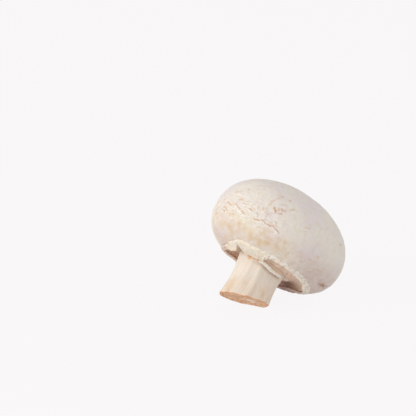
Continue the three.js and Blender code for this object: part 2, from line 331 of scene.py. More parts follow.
class Paint:
    """A node material under construction. Pattern sizes are in millimetres."""

    def __init__(self, name, roughness, subsurface):
        self.material = bpy.data.materials.new(name)
        self.material.use_nodes = True
        self.tree = self.material.node_tree
        self.shader = self.tree.nodes["Principled BSDF"]
        self.shader.inputs["Roughness"].default_value = roughness
        self.shader.inputs["Subsurface Weight"].default_value = subsurface
        self.shader.inputs["Subsurface Radius"].default_value = (1.0, 0.7, 0.45)
        self.shader.inputs["Subsurface Scale"].default_value = 0.8 * MM
        self.place = self.add("ShaderNodeTexCoord").outputs["Object"]
        self.grain = self.layer_vector("grain")

    def add(self, kind, **settings):
        node = self.tree.nodes.new(kind)
        for key, value in settings.items():
            setattr(node, key, value)
        return node

    def link(self, output, socket):
        if hasattr(output, "is_output"):
            self.tree.links.new(output, socket)
        else:
            socket.default_value = output

    def layer(self, name):
        return self.add("ShaderNodeAttribute", attribute_name=name).outputs["Fac"]

    def layer_vector(self, name):
        return self.add("ShaderNodeAttribute", attribute_name=name).outputs["Vector"]

    def pattern(self, size, detail=4, roughness=0.55, where=None, stretch=(1, 1, 1)):
        """Noise with features of a size. where is a vector in metres or, for grain, in millimetres."""
        unit = 1 if where is self.grain else MM
        mapping = self.add("ShaderNodeMapping", vector_type="TEXTURE")
        self.link(self.place if where is None else where, mapping.inputs["Vector"])
        mapping.inputs["Scale"].default_value = tuple(size * unit * share for share in stretch)
        texture = self.add("ShaderNodeTexNoise")
        self.link(mapping.outputs["Vector"], texture.inputs["Vector"])
        texture.inputs["Scale"].default_value = 1
        texture.inputs["Detail"].default_value = detail
        texture.inputs["Roughness"].default_value = roughness
        return texture.outputs["Fac"]

    def range(self, value, low, high, to_low=0.0, to_high=1.0):
        node = self.add("ShaderNodeMapRange", interpolation_type="SMOOTHSTEP")
        self.link(value, node.inputs["Value"])
        node.inputs["From Min"].default_value = low
        node.inputs["From Max"].default_value = high
        node.inputs["To Min"].default_value = to_low
        node.inputs["To Max"].default_value = to_high
        return node.outputs["Result"]

    def math(self, operation, first, second):
        node = self.add("ShaderNodeMath", operation=operation)
        self.link(first, node.inputs[0])
        self.link(second, node.inputs[1])
        return node.outputs[0]

    def mix(self, first, second, share):
        node = self.add("ShaderNodeMix", data_type="RGBA")
        colours = [socket for socket in node.inputs if socket.type == "RGBA"]
        for colour, socket in zip((first, second), colours):
            self.link(colour if hasattr(colour, "is_output") else (*colour, 1), socket)
        self.link(share, node.inputs["Factor"])
        return next(socket for socket in node.outputs if socket.type == "RGBA")

    def coats(self, colour, **coats):
        """Lays each colour over the last where the layer of the same name is strong."""
        for name, coat in coats.items():
            colour = self.mix(colour, coat, self.layer(name))
        return colour

    def finish(self, colour, height, depth):
        """Links the colour, and a height pattern as bump of that depth in millimetres."""
        self.link(colour, self.shader.inputs["Base Color"])
        bump = self.add("ShaderNodeBump")
        bump.inputs["Strength"].default_value = 1
        bump.inputs["Distance"].default_value = depth * MM
        self.link(height, bump.inputs["Height"])
        self.link(bump.outputs["Normal"], self.shader.inputs["Normal"])
        return self.material


# Cap

CAP_AROUND = 390
CAP_ROWS = 250
CAP_HIDDEN_ROWS = 40
UNDER_RIM = 0.8

# Cracks and lifted skin edges on the cap: width, then angle and depth under the widest line
CRACKS = [
    (0.19, [(75, 4.7), (71, 4.4), (68, 3.9), (66, 4.3), (62, 4.4), (59, 4.0), (54, 4.6)]),
    (0.13, [(59, 2.1), (57, 3.5)]),
    (0.14, [(55, 4.5), (52, 5.0)]),
    (0.15, [(98, 2.6), (95, 2.8), (92, 3.5), (88, 4.2), (86, 4.5)]),
    (0.18, [(84, 2.1), (82, 2.1), (80, 2.7)]),
    (0.15, [(79, 0.0), (77, 0.7)]),
    (0.17, [(111, 1.9), (108, 2.2), (105, 2.8), (102, 2.7)]),
    (0.15, [(114, 4.7), (111, 5.0), (108, 5.6)]),
    (0.15, [(112, 3.9), (108, 4.4), (106, 5.1)]),
    (0.15, [(120, 2.5), (116, 1.9)]),
    (0.13, [(75, 2.6), (74, 3.4)]),
    (0.13, [(91, 1.1), (89, 1.4)]),
]

# Dried dashes and flecks: width, strength, then angle and depth
FLECKS = [
    (0.22, 0.8, [(107, -2.2), (104, -2.5), (100, -2.9)]),
    (0.32, 0.7, [(96, -4.5), (95, -4.6)]),
    (0.35, 0.6, [(95, -0.1), (94.5, 0)]),
    (0.3, 1.0, [(65.4, -1.8), (64.2, -1.3), (63.4, -0.5)]),
    (0.25, 0.8, [(62, -2.5), (61.5, -1.8)]),
    (0.3, 0.9, [(60, -2.6), (57, -2.5)]),
    (0.25, 0.8, [(60.4, -0.8), (58, -1.0)]),
    (0.3, 0.5, [(54, -3.9), (51, -5.0)]),
    (0.25, 0.35, [(63, -3.7), (58, -5.0)]),
    (0.45, 0.5, [(58, -7.1), (57.5, -7.2)]),
    (0.6, 0.35, [(66, -7.0), (65, -7.1)]),
    (0.45, 0.45, [(68, 1.2), (67, 1.1)]),
    (0.45, 0.5, [(101, 5.9), (100.5, 5.9)]),
    (0.4, 0.6, [(128, 1.9), (127, 2.2)]),
    (0.4, 0.6, [(123, 4.0), (123, 4.4)]),
    (0.4, 0.6, [(124, 6.0), (123, 6.3)]),
    (0.4, 0.6, [(120, 7.3), (119.5, 7.5)]),
    (0.4, 0.3, [(70, -1.4), (70, -3.6), (67, -6.0)]),
    (0.22, 0.3, [(93, -7.0), (87, -8.1), (81, -9.4)]),
    (0.22, 0.25, [(89, -5.4), (81, -6.8)]),
    (0.22, 0.25, [(99, -9.8), (97, -10.7)]),
    (0.22, 0.2, [(89, -9.5), (85, -10.7)]),
    (0.3, 0.3, [(85, -4.4), (84.5, -4.4)]),
    (0.25, 0.5, [(37, -1.3), (33, -2.4)]),
    (0.25, 0.2, [(37, 0.2), (34, -0.6)]),
    (0.35, 0.4, [(-2, -5.4), (-7, -6.3)]),
    (0.35, 0.45, [(23, 8.3), (22, 8.3)]),
    (0.4, 0.45, [(15, 3.8), (14, 3.9)]),
    (0.25, 0.9, [(8, 10.6), (7.6, 10.7)]),
    (0.3, 0.4, [(18, 6.0), (17, 6.1)]),
    (0.35, 0.3, [(6, 6.9), (0, 6.6)]),
    (0.3, 0.3, [(9, 9.2), (6, 9.0)]),
]

# Soft tan stains near the margin, given the same way
TAN_STAINS = [
    (1.3, 0.8, [(86, 8.3), (84, 10.2)]),
    (1.3, 0.5, [(74, 9.3), (72, 10.4)]),
    (1.3, 0.7, [(66, 8.2), (63, 9.9)]),
    (1.2, 0.6, [(62, 6.6), (59, 9.2)]),
    (1.8, 0.5, [(55, 8.0), (47, 8.6)]),
    (1.6, 0.5, [(44, 6.8), (40, 9.0)]),
    (0.5, 1.0, [(38, 10.4), (36.5, 10.9)]),
    (0.5, 1.0, [(35, 9.9), (36, 8.8)]),
    (1.4, 0.35, [(103, 8.6), (96, 9.2)]),
]
BRUISE = [(-16, 8.6), (-20, 8.2), (-29, 7.2)]

# Where round the axis the skin differs, or where shade is painted on it: middle angle, half width and
# strength
SCALY_SIDE = [(98, 40, 1.0)]
BUMPY_SIDE = [(-42, 34, 1.0)]
STAINED_SIDE = [(-45, 30, 0.8)]
# Painted contact shadow: the cap's underside next to the floor is coloured dark brown.
SOILED_SIDE = [(-88, 40, 0.8)]
# The first lobe is real tan staining. The second, on the lower left, is tan that is partly painted shade.
WARM_SIDES = [(62, 40, 0.5), (112, 26, 0.75)]
# Partly real bruising and partly painted shade: a mauve-brown tint on the low side.
HANDLED_SIDE = [(-12, 42, 1.0)]
# Painted shade on the lower left of the margin, laid with the same tint.
SHADED_SIDE = [(134, 18, 0.75)]

# Relief of the skin. The level keeps its high places inside the solid's outline
SKIN_LEVEL = -0.12
SWELLING_HEIGHT = 0.1
LUMP_HEIGHT = 0.05
STREAK_HEIGHT = 0.04
SCALE_LEVELS = 4
SCALE_SPREAD = 2.4
CRACK_DEPTH = 0.24
FLAKE_HEIGHT = 0.17
FLAKE_WIDTH = 0.4
FLAKE_OFFSET = 0.5
POCK_DEPTH = 0.12
GROUND_BUMP_HEIGHT = 0.24


def cap_profile():
    """Radius and height from the crown down the outside, then under the veil and into the socket."""
    turn = np.linspace(0, math.pi / 2, 120)
    crown = [(CAP_RADIUS * math.sin(t) ** (2 / CROWN_FULLNESS),
              CROWN_HEIGHT * max(0, math.cos(t)) ** (2 / CROWN_FULLNESS)) for t in turn]
    radii = CAP_RADIUS * (1 - np.linspace(0, 1, 80)[1:] ** 2 * (1 - VEIL_OUTER_RADIUS / CAP_RADIUS))
    side = [(radius, -float(margin_depth(radius))) for radius in radii]
    under = [(radius, -MARGIN_DEPTH) for radius in (VEIL_OUTER_RADIUS - UNDER_RIM, STEM_TOP_RADIUS + 2 * GAP)]
    socket = [(STEM_TOP_RADIUS + GAP, -SOCKET_FOOT), (STEM_TOP_RADIUS + GAP, -SOCKET_TOP), (0, -SOCKET_TOP)]
    return crown + side, under + socket


def rescale(value, fixed_end, old_end, new_end):
    """Moves values so that one end of their range stays and the other goes to a new place."""
    return fixed_end + (value - fixed_end) * (new_end - fixed_end) / (old_end - fixed_end)


def cap_place(radius, height, hidden, angle):
    """Radius and height once the margin is rolled in to the rim of the veil at each angle."""
    rim = rim_radius(angle)
    side = ~hidden & (height < 0)
    under = hidden & (radius > STEM_TOP_RADIUS + 1.5 * GAP)
    side_radius = rescale(radius, CAP_RADIUS, VEIL_OUTER_RADIUS, rim)
    under_radius = rescale(radius, STEM_TOP_RADIUS + 2 * GAP, VEIL_OUTER_RADIUS - UNDER_RIM, rim - UNDER_RIM)
    seat = GAP + VEIL_THICKNESS
    place = np.where(side, side_radius, np.where(under, under_radius, radius))
    depth = np.where(side, margin_depth(place), np.where(under, bowl_depth(place, angle) - seat, -height))
    return place, -depth


def on_cap(angle, depth):
    """Upright point of the cap's outside at an angle and a depth under its widest line."""
    fullness = np.where(depth < 0, CROWN_FULLNESS, MARGIN_FULLNESS)
    height = np.where(depth < 0, CROWN_HEIGHT, MARGIN_DEPTH)
    radius = CAP_RADIUS * (1 - (np.abs(depth) / height) ** fullness) ** (1 / fullness)
    return grown_cap(radius, -depth, np.radians(angle))


def cap_line(places):
    angle, depth = np.array(places, dtype=float).T
    return on_cap(angle, depth)


def drawn(points, marks):
    """How strongly marks, each with its width, strength and line, cover each point. 1 is fully."""
    covers = [strength * near_line(points, cap_line(line), width) for width, strength, line in marks]
    return np.clip(sum(covers), 0, 1)


def cap_relief(settings, points, angle, depth):
    """Height of the skin's relief, and the values that its paint reads."""
    skin_scale = settings.scale_height / MM
    wobble = np.stack([rough(points, 1.1, 2, seed) for seed in (21.0, 22.0, 23.0)], axis=1)
    wobbled = points + 0.3 * wobble
    frayed = 0.95 + 0.45 * rough(points, 0.9, 2, 24.0)
    fibres = points * (1, 0.3, 1)
    bands = points * (0.32, 1.6, 0.32)
    terraces = rough(bands, 1.5, 3, 3.0) * SCALE_SPREAD + SCALE_LEVELS
    step = terraces - np.floor(terraces)
    scales = np.floor(terraces) + ease(0.74, 1.0, step)
    edge = np.exp(-(((step - 0.87) / 0.09) ** 2))
    torn = 0.1 + 0.9 * ease(-6, 1, depth) * (1 - ease(6, 9, depth)) * lobes(SCALY_SIDE, angle)
    cracks = [(width * frayed, 1.0, line) for width, line in CRACKS]
    lifts = [(FLAKE_WIDTH * frayed, 0.9, [(a, d + FLAKE_OFFSET) for a, d in line]) for _, line in CRACKS]
    crack = drawn(wobbled, cracks)
    lifted = drawn(wobbled, lifts)
    flakes = torn * ease(0.25, 0.6, rough(bands, 0.7, 3, 31.0))
    pocks = torn * ease(0.38, 0.6, rough(bands, 0.8, 3, 35.0))
    near_ground = ease(8, 12, depth) * lobes(BUMPY_SIDE, angle)
    relief = (SWELLING_HEIGHT * rough(points, 7.0, 3) + SKIN_LEVEL
              + LUMP_HEIGHT * rough(points, 1.5, 3, 17.0)
              + STREAK_HEIGHT * rough(fibres, 1.1, 3, 7.0)
              + skin_scale * torn * (scales - SCALE_LEVELS)
              - CRACK_DEPTH * crack
              + FLAKE_HEIGHT * np.maximum(lifted, 0.6 * flakes)
              - POCK_DEPTH * pocks
              + GROUND_BUMP_HEIGHT * near_ground * rough(points, 1.3, 3, 11.0))
    scale_edge = np.clip(edge * torn + 0.8 * pocks, 0, 1)
    return relief, scale_edge, crack, np.maximum(lifted, flakes), wobbled


def cap_paint(settings):
    paint = Paint("cap_skin", 0.6, 0.15)
    broad = paint.pattern(14, 3)
    colour = paint.mix(settings.warm_white, settings.cool_white, paint.range(broad, 0.4, 0.62))
    streaks = paint.pattern(1.2, 4, 0.6, paint.grain, (1, 1, 5))
    mottling = paint.pattern(2.6, 5, 0.62)
    colour = paint.mix(colour, settings.streak_tan, paint.range(streaks, 0.52, 0.75, 0, 0.25))
    colour = paint.mix(colour, settings.streak_tan, paint.range(mottling, 0.5, 0.72, 0, 0.3))
    soft_streaks = paint.pattern(2.4, 3, 0.5, paint.grain, (1, 1, 3.5))
    blotches = paint.math("ADD", paint.range(mottling, 0.35, 0.65, 0.1, 0.5),
                          paint.range(soft_streaks, 0.35, 0.65, 0.05, 0.5))
    # The margin tan is real staining, and on the lower left it is partly painted shade.
    margin = paint.math("MULTIPLY", paint.layer("margin"), blotches)
    colour = paint.mix(colour, settings.margin_tan, margin)
    # Bruise pink here is partly real bruising and partly painted shade, on the low side and the lower left.
    handled = paint.math("MULTIPLY", paint.layer("handled"), paint.range(mottling, 0.3, 0.7, 0.45, 1))
    colour = paint.mix(colour, settings.bruise_pink, handled)
    colour = paint.mix(colour, settings.flake_white, paint.math("MULTIPLY", paint.layer("flake"), 0.8))
    broken = paint.range(paint.pattern(1.2), 0.35, 0.6, 0.1, 0.9)
    edges = paint.math("MULTIPLY", paint.layer("scale_edge"), broken)
    colour = paint.mix(colour, settings.scale_tan, edges)
    # The last coat is painted contact shadow, dark brown on the underside next to the floor.
    colour = paint.coats(colour, fleck=settings.fleck_orange, crack=settings.crack_brown,
                         stain=settings.stain_brown, soil=settings.soil_brown)
    fine = paint.pattern(0.35, 5, 0.6)
    fibrils = paint.pattern(0.4, 4, 0.6, paint.grain, (1, 1, 7))
    height = paint.math("ADD", paint.math("MULTIPLY", fine, 0.5), fibrils)
    height = paint.math("ADD", height, paint.math("MULTIPLY", paint.pattern(1.1, 4, 0.55), 1.2))
    return paint.finish(colour, height, 0.13)


class MUSHROOM_PG_cap(bpy.types.PropertyGroup):
    scale_height: length_setting("Scale height", "Step from each flat scale of skin to the next", 0.1)
    warm_white: colour_setting("Warm white", "Skin where it is thick and dry", (238, 232, 220))
    cool_white: colour_setting("Cool white", "Skin where it is thin and damp", (235, 226, 222))
    streak_tan: colour_setting("Streak tan", "Edges of scales and fine streaks", (222, 203, 176))
    scale_tan: colour_setting("Scale tan", "Dry edges of the scales", (214, 180, 138))
    flake_white: colour_setting("Flake white", "Lifted flakes of skin", (248, 243, 235))
    # Partly real bruising, partly painted shade on the low side and the lower left.
    bruise_pink: colour_setting("Bruise pink", "Handled skin on the low side", (214, 190, 180))
    # Real staining near the margin, and partly painted shade on the lower left.
    margin_tan: colour_setting("Margin tan", "Stained skin near the margin", (224, 198, 160))
    fleck_orange: colour_setting("Fleck orange", "Dried dashes and flecks", (208, 156, 100))
    crack_brown: colour_setting("Crack brown", "Bottom of the cracks", (202, 146, 92))
    stain_brown: colour_setting("Stain brown", "Bruises near the ground", (176, 136, 108))
    # Painted contact shadow colour for the cap's underside next to the floor.
    soil_brown: colour_setting("Soil brown", "Skin that lay in the soil", (150, 114, 102))


class MUSHROOM_OT_cap(bpy.types.Operator):
    """Adds the cap with its scaly skin, cracks and flecks"""
    bl_idname = "mushroom.cap"
    bl_label = "Cap"

    def execute(self, context):
        settings = context.scene.mushroom_cap
        outside, hidden = cap_profile()
        shown_rows = CAP_ROWS + 1 - CAP_HIDDEN_ROWS
        radius, height = even_rows([(outside, shown_rows), (hidden, CAP_HIDDEN_ROWS)])

        def shape(row, angle):
            place, level = cap_place(radius[row], height[row], row >= shown_rows, angle)
            return grown_cap(place, level, angle)

        piece, row, angle, points = turned_ball("cap_skin", CAP_AROUND, CAP_ROWS, shape)
        depth = -points[:, 1]
        relief, scale_edge, crack, flake, wobbled = cap_relief(settings, points, angle, depth)
        shown = (row < shown_rows).astype(float)
        move_points(piece, points + normals_of(piece) * (relief * shown)[:, None])
        patches = rough(points, 1.2, 3, 5.0)
        on_ground = ease(9, 13, depth) * lobes(STAINED_SIDE, angle) * ease(-0.2, 0.4, patches)
        # Painted contact shadow on the underside next to the floor.
        underneath = ease(10, 13, depth) * lobes(SOILED_SIDE, angle) * (0.8 + 0.3 * patches)
        stain = near_line(points, cap_line(BRUISE), 1.2) * ease(-0.35, 0.35, patches)
        # Real tan on one side, and partly painted shade on the lower left.
        warm_side = ease(3, 9, depth) * lobes(WARM_SIDES, angle)
        # Partly real bruising, partly painted shade on the low side.
        handled = ease(-2, 10, depth) * lobes(HANDLED_SIDE, angle)
        shaded = ease(7, 12, depth) * lobes(SHADED_SIDE, angle)
        give_values(
            piece,
            grain=points[:, [0, 2, 1]],
            scale_edge=scale_edge,
            crack=crack,
            flake=np.clip(flake, 0, 1),
            fleck=drawn(wobbled, FLECKS),
            stain=np.clip(np.maximum(stain, on_ground), 0, 1),
            soil=np.clip(underneath, 0, 1),
            # Bruising and painted shade stored in one layer.
            handled=handled + shaded,
            margin=np.clip(warm_side + drawn(wobbled, TAN_STAINS), 0, 1))
        finish_piece(piece, "cap", cap_paint(settings))
        return {"FINISHED"}


# Veil

VEIL_AROUND = 480
WHOLE_FROM = (44, 57)
WHOLE_TO = (90, 95)
FLAP_FROM = (97, 106)
FLAP_TO = (120, 129)
FLAP_REACH = 0.26
FLAP_LIFT = 0.4
HEM_GAP = 0.01
HEM_REACH = 0.03
HEM_LOBES = [(186, 13, 0.3), (216, 15, 0.45), (250, 13, 0.3), (284, 13, 0.42)]
HEM_WAVES = [(11, 0.7, 0.03), (17, 1.9, 0.025), (41, 0.2, 0.012), (67, 1.1, 0.01)]
PLEAT_WAVES = [(22, 0.3, 0.14), (57, 1.4, 0.05)]
FOLD_LOBES = [(-14, 9, 1.3)]
CRUMPLED_LOBES = [(-44, 9, 1.4)]
PLEATS_AROUND = 96
PLEAT_HEIGHT = 0.3
PLEATED_SIDE = [(50, 8, 1.0)]
GRIT_HEIGHT = 0.22
BARE_ROUGHNESS = 0.12
# Painted shade: browner membrane on the shaded left side past the flap and on the low side.
BROWNED_SIDE = [(195, 55, 1.0)]
DAMP_SIDE = [(-70, 32, 0.5)]
# Painted contact shadow on the veil where it lies nearest the floor.
MUDDY_SIDE = [(-86, 25, 0.95)]

# The upper layer starts a little under the skin and then lies a little over the surface of the solid.
# Its torn edge overhangs the bare membrane, most of all on the flap
RAGGED_WAVES = [(29, 0.5, 0.12), (53, 2.0, 0.1), (13, 1.0, 0.15)]
RIM_SINK = -0.5
LAYER_LIFT = 0.22
HEM_UNDERCUT = 0.6
FLAP_UNDERCUT = 1.2
BRIDGE_UNDERCUT = 0.04

# Rows of the veil's section: out to in over the upper layer, round its hem, back under it, in over the
# bare membrane to the stem, and out again on the hidden side
TOP_ROWS = 62
ROLL_ROWS = 10
UNDERCUT_ROWS = 22
BARE_ROWS = 62
HIDDEN_ROWS = 14
STRIP_ROWS = [TOP_ROWS, ROLL_ROWS, UNDERCUT_ROWS, BARE_ROWS, HIDDEN_ROWS]
TOP, ROLL, UNDERCUT, BARE, HIDDEN = range(5)


def veil_whole(angle):
    degrees = np.degrees(angle)
    return ease(*WHOLE_FROM, degrees) - ease(*WHOLE_TO, degrees)


def flap_share(angle):
    degrees = np.degrees(angle)
    return ease(*FLAP_FROM, degrees) - ease(*FLAP_TO, degrees)


def upper_depth(radius, angle):
    lip = lip_radius(angle)
    inwards = np.maximum(0, (lip - radius) / LIP_RADIUS)
    fullness = np.maximum(np.maximum(veil_whole(angle), flap_share(angle)), 0.3)
    bulge = fullness * (3.6 * inwards - 5.8 * inwards ** 2)
    towards_hem = 1 - ease(np.minimum(hem_radius(angle), lip - HEM_GAP), lip, radius)
    lift = FLAP_LIFT * towards_hem * flap_share(angle)
    return margin_depth(np.maximum(radius, lip)) + bulge + lift


def hem_radius(angle):
    torn = HEM_REACH + waves(HEM_WAVES, angle) + lobes(HEM_LOBES, angle) + FLAP_REACH * flap_share(angle)
    return blend(lip_radius(angle), VEIL_INNER_RADIUS - 0.1, np.maximum(torn, veil_whole(angle)))


def bare_depth(radius, angle):
    lip = lip_radius(angle)
    inwards = np.clip((lip - radius) / (lip - VEIL_INNER_RADIUS), 0, 1)
    folds = waves(PLEAT_WAVES, angle) * ease(0, 0.3, inwards) + inwards * lobes(FOLD_LOBES, angle)
    folds += ease(0.7, 0.95, inwards) * lobes(CRUMPLED_LOBES, angle)
    return bowl_depth(radius, angle) + folds


def fringe_share(angle):
    """1 where only a ragged fringe is left of the upper layer, 0 on the bridge and the flap."""
    return 1 - np.clip(veil_whole(angle) + flap_share(angle), 0, 1)


def veil_section(settings, row, angle):
    """Radius and depth of a point of the veil by its row, and its strip and share of it."""
    thickness = settings.thickness / MM
    starts = np.concatenate([[0], np.cumsum(STRIP_ROWS)])
    strip = np.searchsorted(starts, row, side="right") - 1
    share = (row - starts[strip]) / np.array(STRIP_ROWS)[strip]
    whole = veil_whole(angle)
    fringe = fringe_share(angle)
    hem = hem_radius(angle)
    root = hem + blend(HEM_UNDERCUT + FLAP_UNDERCUT * flap_share(angle), BRIDGE_UNDERCUT, whole)
    ragged_rim = rim_radius(angle) + waves(RAGGED_WAVES, angle)

    top = blend(ragged_rim + 0.5 * fringe, hem, share)
    over_skin = blend(RIM_SINK, LAYER_LIFT, blend(ease(0, 0.06, share), ease(0, 0.5, share), fringe))
    top_depth = upper_depth(top, angle) + over_skin
    roll = hem - 0.5 * thickness * np.sin(share * math.pi)
    roll_depth = upper_depth(hem, angle) + LAYER_LIFT - 0.5 * thickness * (1 - np.cos(share * math.pi))
    under = blend(hem, root, share)
    under_depth = upper_depth(under, angle) + LAYER_LIFT - thickness
    bare = blend(root, VEIL_INNER_RADIUS, share)
    low = np.minimum(bare_depth(bare, angle), upper_depth(bare, angle) + 0.1 - thickness)
    meets = blend(low, upper_depth(bare, angle) + LAYER_LIFT - thickness, whole)
    from_root = upper_depth(root, angle) + LAYER_LIFT - thickness
    low_depth = blend(from_root, meets, ease(0, 0.15, share))
    hidden = blend(VEIL_INNER_RADIUS, rim_radius(angle) - 0.3, share)
    hidden_depth = bowl_depth(hidden, angle) - VEIL_THICKNESS
    radius = np.choose(strip, [top, roll, under, bare, hidden])
    depth = np.choose(strip, [top_depth, roll_depth, under_depth, low_depth, hidden_depth])
    return radius, depth, strip, share, whole


def veil_paint(settings):
    paint = Paint("veil_skin", 0.65, 0.2)
    streaks = paint.pattern(0.9, 4, 0.6, paint.grain, (1, 5, 1))
    mottling = paint.pattern(1.6, 4, 0.6)
    cream = paint.mix(settings.cream, settings.cream_shade, paint.range(streaks, 0.45, 0.7, 0, 0.6))
    cream = paint.mix(cream, settings.cream_shade, paint.range(mottling, 0.5, 0.7, 0, 0.7))
    # The pit coat is painted shade: darker tan in the low places of the fringe's grit.
    cream = paint.coats(cream, fringe=settings.fringe_white, pit=settings.pit_tan)
    bare = paint.mix(settings.bare, settings.bare_dark, paint.range(streaks, 0.4, 0.7))
    # The coats after the bare one are painted shade (browner membrane on the shaded sides) and painted
    # contact shadow next to the floor, then the real seam line.
    colour = paint.coats(cream, bare=bare, old=settings.old_brown, soil=settings.soil_brown,
                         seam=settings.seam_orange)
    ribs = paint.pattern(0.5, 4, 0.6, paint.grain, (1, 6, 1))
    height = paint.math("ADD", paint.pattern(0.5, 5, 0.6), ribs)
    return paint.finish(colour, height, 0.14)


class MUSHROOM_PG_veil(bpy.types.PropertyGroup):
    thickness: length_setting("Thickness", "Thickness of the torn upper layer", 0.6)
    crumple: length_setting("Crumple", "Height of the creases in the upper layer", 0.3)
    cream: colour_setting("Cream", "The upper layer", (246, 236, 219))
    cream_shade: colour_setting("Cream shade", "Streaks in the upper layer", (236, 216, 186))
    fringe_white: colour_setting("Fringe white", "Torn fibres of the fringe", (247, 237, 224))
    # Painted shade in the pits between the torn fibres.
    pit_tan: colour_setting("Pit tan", "Pits between the torn fibres", (227, 207, 187))
    bare: colour_setting("Bare", "The membrane behind the torn hem", (240, 216, 194))
    bare_dark: colour_setting("Bare dark", "Streaks in that membrane", (220, 186, 162))
    # Painted shade colour for the membrane on its shaded sides.
    old_brown: colour_setting("Old brown", "Membrane that has dried and browned", (196, 154, 130))
    # Painted contact shadow colour for the veil next to the floor.
    soil_brown: colour_setting("Soil brown", "Membrane that lay in the soil", (150, 114, 104))
    seam_orange: colour_setting("Seam orange", "Line where the veil meets the stem", (204, 152, 96))


class MUSHROOM_OT_veil(bpy.types.Operator):
    """Adds the veil, whole on one side and torn to a ragged hem on the other"""
    bl_idname = "mushroom.veil"
    bl_label = "Veil"

    def execute(self, context):
        settings = context.scene.mushroom_veil
        rows = sum(STRIP_ROWS)
        piece = start_piece("veil_skin", bpy.ops.mesh.primitive_torus_add, major_segments=VEIL_AROUND,
                            minor_segments=rows, major_radius=2, minor_radius=1)
        x, y, z = points_of(piece).T
        angle = crowded(np.arctan2(y, x))
        minor = np.arctan2(z, np.hypot(x, y) - 2)
        row = np.rint(minor / (2 * math.pi) * rows).astype(int) % rows
        radius, depth, strip, share, whole = veil_section(settings, row, angle)
        points = grown_cap(radius, -depth, angle)
        move_points(piece, points)
        outwards_again(piece)

        cosine, sine = np.cos(angle), np.sin(angle)
        flat = np.stack([CAP_RADIUS * 0.6 * cosine, CAP_RADIUS * 0.6 * sine, radius / 3], axis=1)
        crumple = settings.crumple / MM * (rough(flat, 2.0, 3, 2.0) + 0.3 * rough(points, 0.8, 2, 3.0))
        pleats = PLEAT_HEIGHT * np.sin(PLEATS_AROUND * angle) * lobes(PLEATED_SIDE, angle)
        pleats *= ease(0.2, 0.5, share)
        grit = rough(points, 0.8, 3, 4.0)
        on_top = (strip == TOP) * ease(0.05, 0.2, share)
        on_bare = (strip == BARE) * ease(0.05, 0.2, share) * (1 - whole)
        fringe = fringe_share(angle)
        relief = on_top * ((crumple + pleats) * (1 - 0.6 * fringe) + GRIT_HEIGHT * grit * fringe)
        relief += on_bare * BARE_ROUGHNESS * rough(flat, 0.8, 3, 9.0)
        move_points(piece, points + normals_of(piece) * relief[:, None])

        fold = (strip == BARE) * 0.8 * lobes(CRUMPLED_LOBES, angle) * ease(0.75, 0.9, share)
        below = (strip >= UNDERCUT) & (strip < HIDDEN)
        # Painted shade: browner membrane past the flap, on the left and on the low side.
        past_flap = ease(122, 133, np.degrees(angle) % 360) * lobes([(160, 60, 1.0)], angle)
        browned = 0.6 * np.maximum(lobes(BROWNED_SIDE, angle), past_flap)
        old = np.maximum(browned, lobes(DAMP_SIDE, angle)) * (1 - fold)
        seam = whole * ease(0.88, 0.97, share) * (strip == TOP) * ease(-0.5, 0.3, rough(points, 1.6, 2, 1.0))
        give_values(
            piece,
            grain=np.stack([radius * cosine, radius, radius * sine], axis=1),
            fringe=fringe * (strip < UNDERCUT),
            # Painted shade in the low places of the grit.
            pit=fringe * (strip == TOP) * ease(-0.05, -0.5, grit),
            bare=below * (1.0 - whole) * (1 - fold),
            old=np.clip(old, 0, 0.9) * (0.8 + 0.2 * rough(points, 1.5, 2, 8.0)),
            # Painted contact shadow next to the floor.
            soil=lobes(MUDDY_SIDE, angle),
            seam=np.clip(seam, 0, 1))
        finish_piece(piece, "veil", veil_paint(settings))
        return {"FINISHED"}


# Stem

STEM_AROUND = 320
STEM_ROWS = 250
STEM_TOP_ROWS = 30
STEM_CUT_ROWS = 70
SHRED_DEPTH = 0.53 * CAP_RADIUS
SHRED_LOBES = [(42, 24, 0.8), (8, 16, 0.8), (-70, 18, 0.4), (215, 26, 0.36)]
SHRED_WAVES = [(3, 0.9, 0.4)]
PITH = (2.0, -1.2)
PITH_RADIUS = 1.9
NECK_SIDE = [(18, 42, 1.0)]
FIBRE_STRETCH = 8
CUT_LEVEL = -0.3
WRINKLE_HEIGHT = 0.2
RING_HEIGHT = 0.08
HOLLOW_DEPTH = 0.5
RIM_HEIGHT = 0.25
FIBRE_WAVES = [(9, 0.4, 0.1), (14, 2.0, 0.06), (4, 1.3, 0.11)]


def stem_profile():
    """Radius and height from the top in the socket down the side and in over the cut."""
    top = SOCKET_TOP + GAP
    hidden = [(0, -top), (STEM_TOP_RADIUS - 0.5, -top), (STEM_TOP_RADIUS, -top - 0.5),
              (STEM_TOP_RADIUS, -SOCKET_FOOT)]
    depths = np.linspace(SOCKET_FOOT, STEM_LENGTH - 0.3, 60)
    knots = [SOCKET_FOOT, NECK_DEPTH, WAIST_DEPTH, STEM_LENGTH - 1.2, STEM_LENGTH - 0.25]
    sizes = [STEM_TOP_RADIUS, STEM_NECK_RADIUS, STEM_WAIST_RADIUS, STEM_FOOT_RADIUS - 0.1, STEM_FOOT_RADIUS]
    fit = np.polyfit(knots, sizes, 4)
    side = [(float(np.polyval(fit, depth)), -depth) for depth in depths]
    rim = [(STEM_FOOT_RADIUS, -STEM_LENGTH + 0.15), (STEM_FOOT_RADIUS - 0.15, -STEM_LENGTH)]
    cut = [(STEM_FOOT_RADIUS - 0.3, -STEM_LENGTH), (0, -STEM_LENGTH)]
    return hidden, side[1:] + rim, cut


def round_stem(angle, depth):
    """Points on a tube round the stem, for patterns that run down it."""
    return np.stack([STEM_WAIST_RADIUS * np.cos(angle), STEM_WAIST_RADIUS * np.sin(angle), depth], axis=1)


def shred_line(angle, flat):
    """Depth of the torn edge of the shred."""
    return SHRED_DEPTH + waves(SHRED_WAVES, angle) + 0.3 * rough(flat, 2.0, 3, 12.0)


